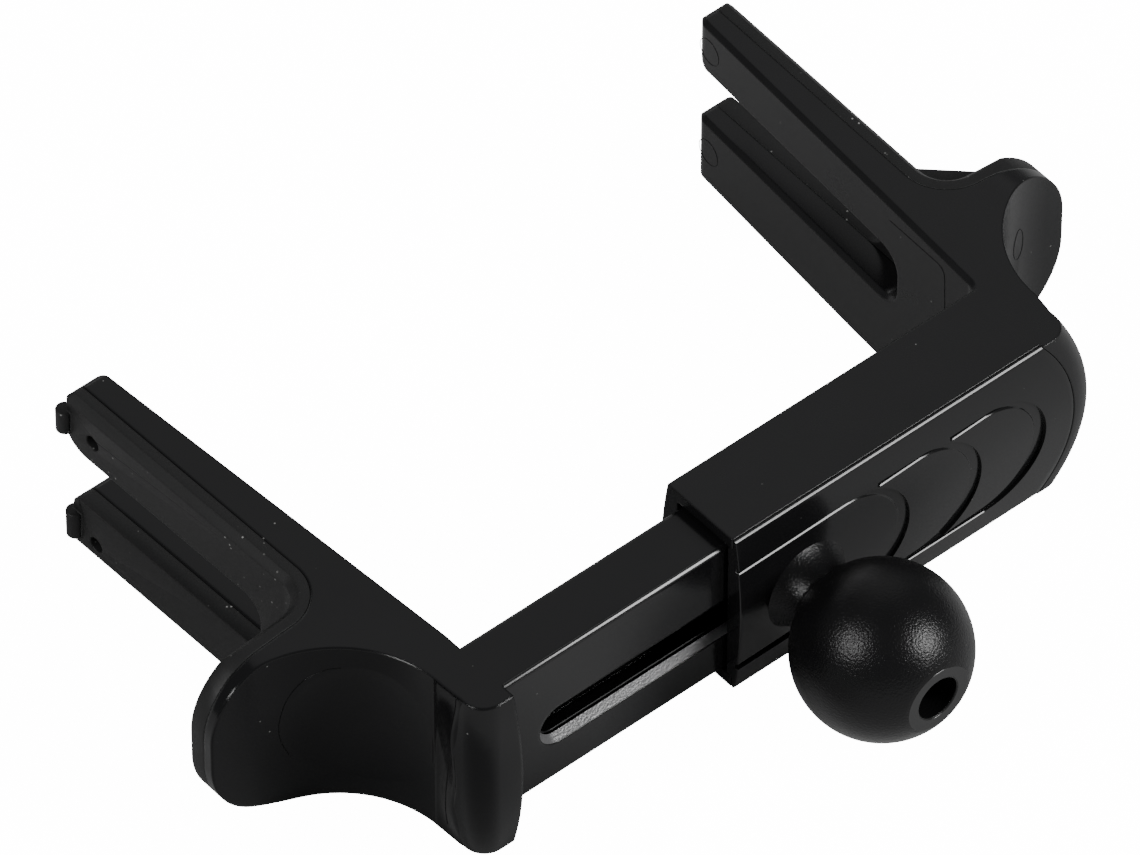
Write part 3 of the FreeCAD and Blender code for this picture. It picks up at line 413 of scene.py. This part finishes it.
edge = 0.20                                          # rounding, facet of 45 degrees, rounding
bend = np.array([0, 0.008, 0.035, 0.058, 0.119, 0.142, 0.173, edge])
straight = np.linspace(BOTTOM + edge, TOP - edge, 58)
lines = near([SCALE_LINE - OUTER, SCALE_LINE - INNER, SCALE_LINE + INNER, SCALE_LINE + OUTER])
tongue_rows = [-7.66, -7.64, 9.44, 9.46]             # close pairs, so the tongue's edge is steep
low_rows = np.arange(-5.3, -4.0, 0.12)
middle_rows = np.sort(np.concatenate([straight, lines, tongue_rows, low_rows]))
middle_rows = middle_rows[np.concatenate([[True], np.diff(middle_rows) > 0.008])]
rows = np.concatenate([BOTTOM + bend, middle_rows[1:-1], TOP - bend[::-1]])
row_back = np.concatenate([bend[::-1], np.zeros(len(middle_rows) - 2), bend])
z = rows[:, None]

families = []
for start, end, scale_end in SCALES:
    for ends, half in ((scale_end, INNER), (end, OUTER)):
        radius = half + GAPS
        reach = np.sqrt(np.maximum(radius[None, :] ** 2 - (z - SCALE_LINE) ** 2, 0))
        families.append(ends - half + reach)
lip = 0.1                                            # rounding at both ends of the cover
quarter = np.linspace(0, math.pi / 2, 4)
mouth_x = MOUTH + lip * (1 - np.cos(quarter))
mouth_back = lip * (1 - np.sin(quarter))
end_x = seam_end(z) - lip * (1 - np.sin(quarter))[None, :]
end_back = lip * (1 - np.cos(quarter))
columns = [np.repeat(mouth_x[None, :], len(rows), 0)]
COLUMNS_BETWEEN = (44, 3, 22, 3, 20, 3, 8)
for family, between in zip(families + [end_x], COLUMNS_BETWEEN):
    t = np.linspace(0, 1, between + 2)[None, 1:-1]
    columns += [columns[-1][:, -1:] * (1 - t) + family[:, :1] * t, family]
x = np.concatenate(columns, 1)
step = 0.003 * np.arange(x.shape[1])                 # columns never cross or touch
x = np.maximum.accumulate(x - step, 1) + step
x = np.minimum(x, end_x[:, -1:] - step[::-1][None, :] / 8)
z = np.repeat(z, x.shape[1], 1)
rounding = np.zeros_like(x)
rounding[:, :4] += mouth_back
rounding[:, -4:] += end_back
y = crown_face(z) + sunk(x, z) + np.maximum(rounding, row_back[:, None])
y = np.minimum(y, LIP_BACK - 0.02)
print("cover grid", x.shape, "depth to", round(float(sunk(x, z).max()), 3), "mm")

# %% [markdown]
# A plate needs a back too. The same grid is used once more behind it, with the tongue that
# fits between the housing's walls, and the two are joined round their borders into one
# closed shell.

# %% front cover
def place_mesh(name, points, faces, smooth_angle=35.0):
    """Object at the origin from points in mm and faces of four corners, smooth up to an angle.
    The faces look outwards when they enclose a positive volume. If not, they are turned round."""
    points, faces = np.asarray(points, float).reshape(-1, 3) * MM, np.asarray(faces)
    a, b, c, d = (points[faces[:, k]] for k in range(4))
    volume = float((np.cross(c - a, d - b) * (a + b + c + d)).sum()) / 24
    faces = faces if volume > 0 else faces[:, ::-1]
    mesh = bpy.data.meshes.new(name)
    mesh.from_pydata(points.tolist(), [], faces.tolist())
    mesh.shade_smooth()
    mesh.set_sharp_from_angle(angle=math.radians(smooth_angle))
    piece = bpy.data.objects.new(name, mesh)
    bpy.context.scene.collection.objects.link(piece)
    return piece


def shell(name, front, back):
    """Closed plate from a front and a back grid of the same size, joined round the border."""
    rows, columns = front.shape[:2]
    count = rows * columns
    faces = grid_faces(rows, columns)
    number = np.arange(count).reshape(rows, columns)
    border = np.concatenate([number[0, :-1], number[:-1, -1], number[-1, :0:-1], number[:0:-1, 0]])
    after = np.roll(border, -1)
    sides = np.stack([border, after, after + count, border + count], -1)
    every = np.concatenate([faces, faces[:, ::-1] + count, sides[:, ::-1]])
    return place_mesh(name, np.concatenate([front.reshape(-1, 3), back.reshape(-1, 3)]), every)


def wear(piece, material, body, replaced=None):
    """Finish, body and slot of a new piece, and the node that it replaces, if any."""
    piece.data.materials.append(material)
    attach(piece, body)
    if replaced:
        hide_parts(replaced)
    return piece


tongue = (z > TONGUE_LOW) & (z < TONGUE_HIGH)
back = np.stack([x, np.where(tongue, TONGUE_BACK, LIP_BACK), z], -1)
front_cover = shell("cover_with_scales", np.stack([x, y, z], -1), back)
wear(front_cover, cover_plastic, "sleeve", "front_cover")
print("front cover:", len(front_cover.data.polygons), "faces")

# %% [markdown]
# The ball and its neck are one turned shape: a profile carried round the Y axis. The
# profile is a list of short curves, and where two meet a small arc breaks the edge. The
# profile closes on itself through the bore, so the shell has no poles to pinch.

# %% ball and neck
def arc_points(centre, radius, start, end, count):
    """Points on an arc, angles in degrees."""
    a = np.radians(np.linspace(start, end, count))
    return np.stack([centre[0] + radius * np.cos(a), centre[1] + radius * np.sin(a)], -1)


def turned(name, profile, around=144):
    """Profile of (radius, y) pairs in mm carried round the Y axis. The profile closes on itself."""
    a = np.linspace(0, 2 * math.pi, around, endpoint=False)[:, None]
    r, along = profile[None, :, 0], profile[None, :, 1]
    points = np.stack([r * np.sin(a), along + 0 * a, r * np.cos(a)], -1)
    return place_mesh(name, points, grid_faces(around, len(profile), True, True))


BALL_RADIUS, WAIST, FOOT, FLAT = 8.5, 3.5, 4.9, 7.7  # FLAT: from the centre to the end flat
BORE, SHANK, SHOULDER, NECK_END = 2.25, 1.1, -1.5, 11.0
FLARE_ARC, RIM = 5.5, 0.12                           # radii of the neck's flare and the rims
waist_y = math.sqrt(BALL_RADIUS ** 2 - WAIST ** 2)
foot_y = FRONT - CROWN + 0.5
flat_r = math.sqrt(BALL_RADIUS ** 2 - FLAT ** 2)
chord = math.hypot(FOOT - WAIST, foot_y - waist_y)
rise = math.sqrt(FLARE_ARC ** 2 - chord ** 2 / 4)
flare = ((FOOT + WAIST) / 2 + (foot_y - waist_y) / chord * rise,
         (foot_y + waist_y) / 2 - (FOOT - WAIST) / chord * rise)
flare_ends = [math.degrees(math.atan2(py - flare[1], px - flare[0])) % 360
              for px, py in ((WAIST, waist_y), (FOOT, foot_y))]
ball_ends = [math.degrees(math.atan2(-FLAT, flat_r)) + 1.2,
             math.degrees(math.atan2(waist_y, WAIST)) - 0.6]
profile = np.concatenate([
    np.array([[SHANK, SHOULDER], [BORE, SHOULDER], [BORE, 0.16 - FLAT]]),
    arc_points((BORE + RIM, 0.14 - FLAT), RIM, 180, 270, 4),
    arc_points((flat_r - 0.1, 0.14 - FLAT), RIM, 270, 300, 3),
    arc_points((0, 0), BALL_RADIUS, *ball_ends, 72),
    arc_points(flare, FLARE_ARC, *flare_ends, 20)[1:],
    np.array([[FOOT, NECK_END], [SHANK, NECK_END]]),
])
print("neck flare, centre", np.round(flare, 2), "mm;", len(profile), "points in the profile")
ball = turned("ball_on_neck", profile)
wear(ball, ball_plastic, "sleeve", "ball_stud")
end_flat = turned("ball_end_flat", np.array([
    [2.42, 0.02 - FLAT], [2.44, -FLAT], [3.5, -FLAT],
    [3.52, 0.02 - FLAT], [3.5, 0.1 - FLAT], [2.44, 0.1 - FLAT]]))
wear(end_flat, facet_plastic, "sleeve")

# %% [markdown]
# The screw sits deep in the ball's bore. Its head has a hexagon socket, so the radius is
# not the same all round. Every ring is still a function of the angle: round rings outside
# and hexagonal rings in the socket, and the last ring closes in one point.

# %% screw with a hexagon socket
def weld(piece, gap=1e-7):
    """Join points that lie on each other, so poles and ends are closed."""
    work = bmesh.new()
    work.from_mesh(piece.data)
    bmesh.ops.remove_doubles(work, verts=work.verts, dist=gap)
    work.to_mesh(piece.data)
    work.free()
    piece.data.update()
    return piece


AROUND, ACROSS_FLATS = 72, 1.84                      # points round the screw, width of its socket
angle = np.linspace(0, 2 * math.pi, AROUND, endpoint=False)[:, None]
hexagon = ACROSS_FLATS / 2 / np.cos((angle + math.pi / 6) % (math.pi / 3) - math.pi / 6)
# rings from the shank's end to the head's face (radius, y), then socket (share of hexagon, y)
outside = np.array([(0, 13.45), (0.98, 13.45), (0.98, -1.5), (1.78, -1.5), (1.85, -1.57),
                    (1.85, -3.3), (1.8, -3.42), (1.68, -3.5), (1.2, -3.5)])
inside = np.array([(1.06, -3.5), (1.0, -3.44), (1.0, -2.5), (0.9, -2.4), (0, -2.2)])
radius = np.concatenate([np.repeat(outside[None, :, 0], AROUND, 0), inside[None, :, 0] * hexagon], 1)
level = np.repeat(np.concatenate([outside, inside])[None, :, 1], AROUND, 0)
screw_points = np.stack([radius * np.sin(angle), level, radius * np.cos(angle)], -1)
screw = place_mesh("socket_screw", screw_points, grid_faces(*radius.shape, True, False))
weld(screw)
wear(screw, dark_steel, "sleeve", "ball_screw")

# %% [markdown]
# A spring is a round wire along a helix. The wire's ring of points needs two directions
# square to the path: the radius of the helix is one, and the other is square to both. The
# last turns lie closer, as on a real compression spring. It gets shorter as the bar slides
# in, and here it gets a mesh of its own.

# %% spring
def sweep(name, path, radius, lean, sides):
    """Round rod along a path in mm. lean is one direction square to it, or an array of them."""
    along = np.gradient(path, axis=0)
    along /= np.linalg.norm(along, axis=1, keepdims=True)
    lean = np.broadcast_to(np.asarray(lean, float), path.shape)
    lean = lean - (lean * along).sum(1, keepdims=True) * along
    lean /= np.linalg.norm(lean, axis=1, keepdims=True)
    across = np.cross(along, lean)
    thick = np.concatenate([[0], np.full(len(path), radius), [0]])[:, None, None]
    path, lean, across = [np.concatenate([v[:1], v, v[-1:]]) for v in (path, lean, across)]
    turn = np.linspace(0, 2 * math.pi, sides, endpoint=False)[None, :, None]
    points = path[:, None] + thick * (np.cos(turn) * lean[:, None] + np.sin(turn) * across[:, None])
    return weld(place_mesh(name, points, grid_faces(len(path), sides, False, True)[:, ::-1]))


low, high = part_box("spring")
spring_y, spring_z = (low[1] + high[1]) / 2 / MM, (low[2] + high[2]) / 2 / MM
seat, stop = low[0] / MM + 0.23, high[0] / MM - 0.23
COIL, WIRE = 1.5, 0.22                               # radii of the coil and of its wire
turns, points_per_turn = 15, 26
t = np.linspace(0, 1, turns * points_per_turn)
squeezed = np.interp(t, [0, 1.5 / turns, 1 - 1.5 / turns, 1], [0, 0.02, 0.98, 1])
swing = 2 * math.pi * turns * t
radial = np.stack([0 * t, np.sin(swing), np.cos(swing)], -1)
axis_line = np.stack([seat + (stop - seat) * squeezed, spring_y + 0 * t, spring_z + 0 * t], -1)
helix = axis_line + COIL * radial
spring = sweep("wire_spring", helix, WIRE, radial, sides=10)
wear(spring, spring_steel, "slider", "spring")
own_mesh(spring)
print("spring", round(stop - seat, 1), "mm long,", turns, "turns")

# %% [markdown]
# The grips are soft strips bonded to the outer sides of the arms. Their plan follows the
# fork, so the CAD outline is kept: a copy of it is merged, its flat faces are joined, and
# a bevel softens every edge as moulded rubber has it.

# %% grips
def soft_copy(node, name, material, body, softness=0.14):
    """Copy of a CAD node with merged corners and softly rounded edges, softness in mm."""
    work = bmesh.new()
    work.from_mesh(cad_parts[node].data)
    bmesh.ops.remove_doubles(work, verts=work.verts, dist=1e-6)
    bmesh.ops.dissolve_limit(work, angle_limit=math.radians(1.0), verts=work.verts, edges=work.edges)
    mesh = bpy.data.meshes.new(name)
    work.to_mesh(mesh)
    work.free()
    mesh.materials.clear()
    piece = bpy.data.objects.new(name, mesh)
    bpy.context.scene.collection.objects.link(piece)
    mesh.shade_smooth()
    bevel = piece.modifiers.new("soft_edges", "BEVEL")
    bevel.width, bevel.segments, bevel.limit_method = softness * MM, 3, "ANGLE"
    bevel.angle_limit, bevel.use_clamp_overlap, bevel.harden_normals = math.radians(24), False, True
    wear(piece, material, body, node)
    print(name, "from", len(mesh.polygons), "faces")
    return piece


soft_copy("right_grip", "right_soft_strip", grip_rubber, "sleeve")
soft_copy("left_grip", "left_soft_strip", grip_rubber, "slider")

# %% [markdown]
# The bar's slot catches the eye in the picture. Its lower wall is rough and glitters, and its
# light grey colour is a painted highlight of the lit wall, far lighter than the black plastic.
# A thin polished line runs along its far edge. The bar's front upper edge has a narrow flat
# that shines. All three follow straight or stadium lines, so each is a small profile
# carried along a path: a thin lining, a thin rod and a sliver over the rounded CAD edge.

# %% slot lining and bar edge
BAR_FRONT, BAR_TOP, ARM_FACE, WALL = 12.4, 9.2, -34.15, 1.3
SLOT_LEFT, SLOT_END, SLOT_MIDDLE, SLOT_HALF = -30.0, -0.4, -0.4, 2.4


def slot_line(offset):
    """Lower half of the slot's outline (x, z), moved inwards by the offset."""
    turn = arc_points((SLOT_LEFT + SLOT_HALF, SLOT_MIDDLE), SLOT_HALF - offset, 165, 270, 26)
    run = np.linspace(SLOT_LEFT + SLOT_HALF, SLOT_END, 60)[1:]
    low_line = np.full_like(run, SLOT_MIDDLE - SLOT_HALF + offset)
    return np.concatenate([turn, np.stack([run, low_line], -1)])


def lining(name, offset, start, end, rise):
    """Thin lining on the slot's wall between two depths from the bar's front, in mm.
    rise is how much higher its far side lies."""
    deep = np.linspace(start, end, 6)
    depth = BAR_FRONT + deep[None, :] + 0 * slot_line(0)[:, :1]
    lift = offset + rise * (deep - start) / (end - start)
    front = np.stack([slot_line(v) for v in lift], 1)
    rear = np.stack([slot_line(-0.03)] * len(deep), 1)
    return shell(name, *[np.stack([g[..., 0], depth, g[..., 1]], -1) for g in (front, rear)])


# The lining's light grey colour is painted highlight on the slot's lit lower wall.
ledge = lining("slot_highlight_lining", 0.03, 0.06, 0.80, 0.52)
wear(ledge, slot_highlight_plastic, "slider")
far_edge = slot_line(0.55)
far_depth = np.full(len(far_edge), BAR_FRONT + WALL - 0.12)
rim = sweep("slot_far_rim", np.stack([far_edge[:, 0], far_depth, far_edge[:, 1]], -1),
            0.11, (0, 1, 0), sides=10)
wear(rim, facet_plastic, "slider")

# The edge flat's section (y, z) from the bar's upper front corner, and its places along the
# bar. Its ends shrink to nothing, which closes them.
section = np.array([[0.02, -0.42], [-0.004, -0.33], [0.035, -0.25], [0.11, -0.175],
                    [0.175, -0.11], [0.25, -0.035], [0.33, 0.004], [0.42, -0.02]])
run = np.array([ARM_FACE + 0.1, ARM_FACE + 0.1, ARM_FACE + 0.12, 5.88, 5.9, 5.9])
share = np.array([0, 0.9, 1, 1, 0.9, 0])[:, None]
middle = section.mean(0)
prism = np.stack([np.repeat(run[:, None], len(section), 1),
                  BAR_FRONT + middle[0] + share * (section[:, 0] - middle[0]),
                  BAR_TOP + middle[1] + share * (section[:, 1] - middle[1])], -1)
bar_edge = weld(place_mesh("bar_edge_flat", prism, grid_faces(*prism.shape[:2], False, True),
                           smooth_angle=30))
wear(bar_edge, facet_plastic, "slider")

# %% [markdown]
# Moulds leave fine marks: the seam of an insert on the right arm's inner face, and small
# rings where ejector pins pushed the arms out. They are hair-thin ribs, swept along short
# paths that lie on the faces.

# %% mould marks
INNER_FACE, INNER_START, INNER_SLOPE = 29.25, 21.9, 0.0731      # right arm: x at y, mm per mm
HAIR = 0.045                                         # radius of a hair-thin rib


def on_inner_face(y, z):
    """Points on the right arm's inner face, from their y and z."""
    y, z = np.asarray(y, float), np.asarray(z, float)
    return np.stack([INNER_FACE + (y - INNER_START) * INNER_SLOPE, y, z], -1)


corner = arc_points((26.15, 8.3), 0.95, 90, 175, 10)
seam_path = np.concatenate([on_inner_face(np.linspace(33.5, 26.4, 24), np.linspace(8.72, 9.26, 24)),
                            on_inner_face(corner[:, 0], corner[:, 1]),
                            on_inner_face(np.linspace(25.15, 24.6, 30), np.linspace(7.9, -8.9, 30))])
seam_rib = sweep("insert_seam", seam_path, HAIR, (1, 0, 0), sides=6)
wear(seam_rib, housing_plastic, "sleeve")
for name, py, pz in (("pin_mark_high", 61.3, 7.7), ("pin_mark_low", 61.3, -5.9)):
    ring = arc_points((py, pz), 1.45, 0, 360, 40)
    mark = sweep(name, on_inner_face(ring[:, 0], ring[:, 1]), 0.04, (1, 0, 0), sides=6)
    wear(mark, housing_plastic, "sleeve")

# %% [markdown]
# Two more marks lie on curved faces: the edge of the thumb dish and a small oval on the
# right tab. Their outlines are read from the picture as seen along one axis, and rays
# carry them onto the CAD faces.

# %% marks on curved faces
def draped(node, starts, direction):
    """Places in mm where rays from the starts, all in one direction, meet a CAD node."""
    work = bmesh.new()
    work.from_mesh(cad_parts[node].data)
    work.transform(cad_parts[node].matrix_world)
    tree = BVHTree.FromBMesh(work)
    work.free()
    hits = [tree.ray_cast(Vector(start) * MM, Vector(direction))[0]
            for start in np.asarray(starts).tolist()]
    return np.array([list(hit) for hit in hits if hit is not None]) / MM


def smooth_line(corners, count):
    """Points evenly along a soft curve through the corners (Catmull-Rom weights)."""
    c = np.asarray(corners, float)
    c = np.concatenate([2 * c[:1] - c[1:2], c, 2 * c[-1:] - c[-2:-1]])
    at = np.linspace(0, len(c) - 3 - 1e-9, count)
    k, t = at.astype(int), (at % 1)[:, None]
    a, b, d, e = c[k], c[k + 1], c[k + 2], c[k + 3]
    return b + 0.5 * t * (d - a + t * (2 * a - 5 * b + 4 * d - e + t * (3 * (b - d) + e - a)))


RAY_START, BACKWARDS = 5, (0, 1, 0)                  # rays start in front of the arms, at this y
dish = smooth_line([(-42.3, 6.5), (-43.3, 6.3), (-44.9, 5.4), (-46.2, 3.85),
                    (-47.0, 2.0), (-47.4, -0.2), (-47.2, -2.3), (-46.4, -4.6)], 60)
oval = arc_points((0, 0), 1, 0, 360, 48) * (0.75, 1.95) + (41.2, 2.3)
for name, node, outline, body, finish, slot in (
        ("dish_line", "slider_arm", dish, "slider", slider_plastic, "slider_plastic"),
        ("tab_oval", "sleeve_arm", oval, "sleeve", housing_plastic, "housing_plastic")):
    line = draped(node, np.insert(outline, 1, RAY_START, 1), BACKWARDS)
    mark = sweep(name, line, HAIR, BACKWARDS, sides=6)
    wear(mark, finish, body)
    print(name, len(line), "points")

# %% [markdown]
# Where the left corner turns into the thumb hollow, the real moulding runs in one soft
# sweep, with a mould seam down its side. The CAD loft is a little uneven there. A thin
# skin over it is a height function: at every level a cubic curve leaves the corner with
# its own slope and meets the hollow. The start is measured with rays at fifteen levels
# and fitted by a polynomial, so the skin is smooth, and its borders dip into the arm.

# %% left heel
HEEL_START, HEEL_END, HEEL_X = 13.6, 17.2, -38.28    # y where the sweep starts, ends, x of its end
HEEL_SPAN, HOLLOW_SLOPE = 0.4, 0.1                   # overlap at both borders, slope of the hollow
levels = np.linspace(-10.4, 9.0, 15)


def heel_fit(y):
    """Polynomial over z of the arm's outer x at this y, measured with rays from the far left."""
    starts = np.stack([np.full_like(levels, -60.0), np.full_like(levels, y), levels], -1)
    return np.polynomial.Polynomial.fit(levels, draped("slider_arm", starts, (1, 0, 0))[:, 0], 6)


before, start = heel_fit(HEEL_START - HEEL_SPAN), heel_fit(HEEL_START)


def heel_skin(y, z):
    """x of the skin at y and z: a cubic between two ends with their slopes, straight beyond
    them. It stands 0.07 mm proud of the arm, and its two borders lie 0.04 mm inside it."""
    length = HEEL_END - HEEL_START
    t = np.clip((y - HEEL_START) / length, 0, 1)
    slope = (start(z) - before(z)) / HEEL_SPAN
    x = (2 * t ** 3 - 3 * t ** 2 + 1) * start(z) + (t ** 3 - 2 * t ** 2 + t) * length * slope \
        + (3 * t ** 2 - 2 * t ** 3) * HEEL_X - (t ** 3 - t ** 2) * length * HOLLOW_SLOPE
    x = x + np.minimum(y - HEEL_START, 0) * slope - np.maximum(y - HEEL_END, 0) * HOLLOW_SLOPE
    proud = np.clip(np.minimum(y - HEEL_START + 0.3, HEEL_END + 0.3 - y) / 0.6, 0, 1)
    return x + 0.04 - 0.11 * proud * proud * (3 - 2 * proud)


skin_y, skin_z = np.meshgrid(np.linspace(HEEL_START - HEEL_SPAN, HEEL_END + HEEL_SPAN, 44),
                             np.linspace(-10.55, 9.17, 80), indexing="ij")
skin_x = heel_skin(skin_y, skin_z)
skin = shell("heel_skin", *[np.stack([skin_x + inwards, skin_y, skin_z], -1) for inwards in (0, 0.3)])
wear(skin, slider_plastic, "slider")
seam = smooth_line([(14.3, 8.9), (14.2, 6.6), (14.4, 3.0),
                    (15.0, -0.7), (15.3, -4.9), (15.5, -9.0)], 60)
seam_path = np.insert(seam, 0, heel_skin(seam[:, 0], seam[:, 1]), 1)
seam_rod = sweep("heel_seam", seam_path, HAIR, (1, 0, 0), sides=6)
wear(seam_rod, slider_plastic, "slider")
print("heel from x", round(float(start(0)), 2), "to", HEEL_X)

# %% [markdown]
# Behind the right tab a low web of the soft material bridges the fillet to the prong. It is
# a four-sided block with softened edges, and its ends are buried in the arm.

# %% fillet web
def block(name, plan, low, high, softness):
    """Block over a convex plan (x, y) in mm, with its upper and lower edges softened."""
    plan = np.asarray(plan, float)
    middle, size = plan.mean(0), np.hypot(*(plan - plan.mean(0)).T).mean()
    quarter = np.radians([0, 30, 60, 90])
    inset, lift = softness * (1 - np.sin(quarter)), softness * (1 - np.cos(quarter))
    inset = np.concatenate([[size], inset, inset[::-1], [size]])
    height = np.concatenate([[low], low + lift, high - lift[::-1], [high]])
    rings = middle + (1 - inset / size)[:, None, None] * (plan - middle)
    rings = np.concatenate([rings, np.broadcast_to(height[:, None, None], rings.shape[:2] + (1,))], -1)
    return weld(place_mesh(name, rings, grid_faces(len(height), len(plan), False, True)))


WEB_PLAN = [(35.4, 38.85), (42.5, 31.95), (38.0, 31.2), (34.6, 34.5)]
web = block("fillet_web", WEB_PLAN, 4.8, 8.0, 0.25)
wear(web, grip_rubber, "sleeve")
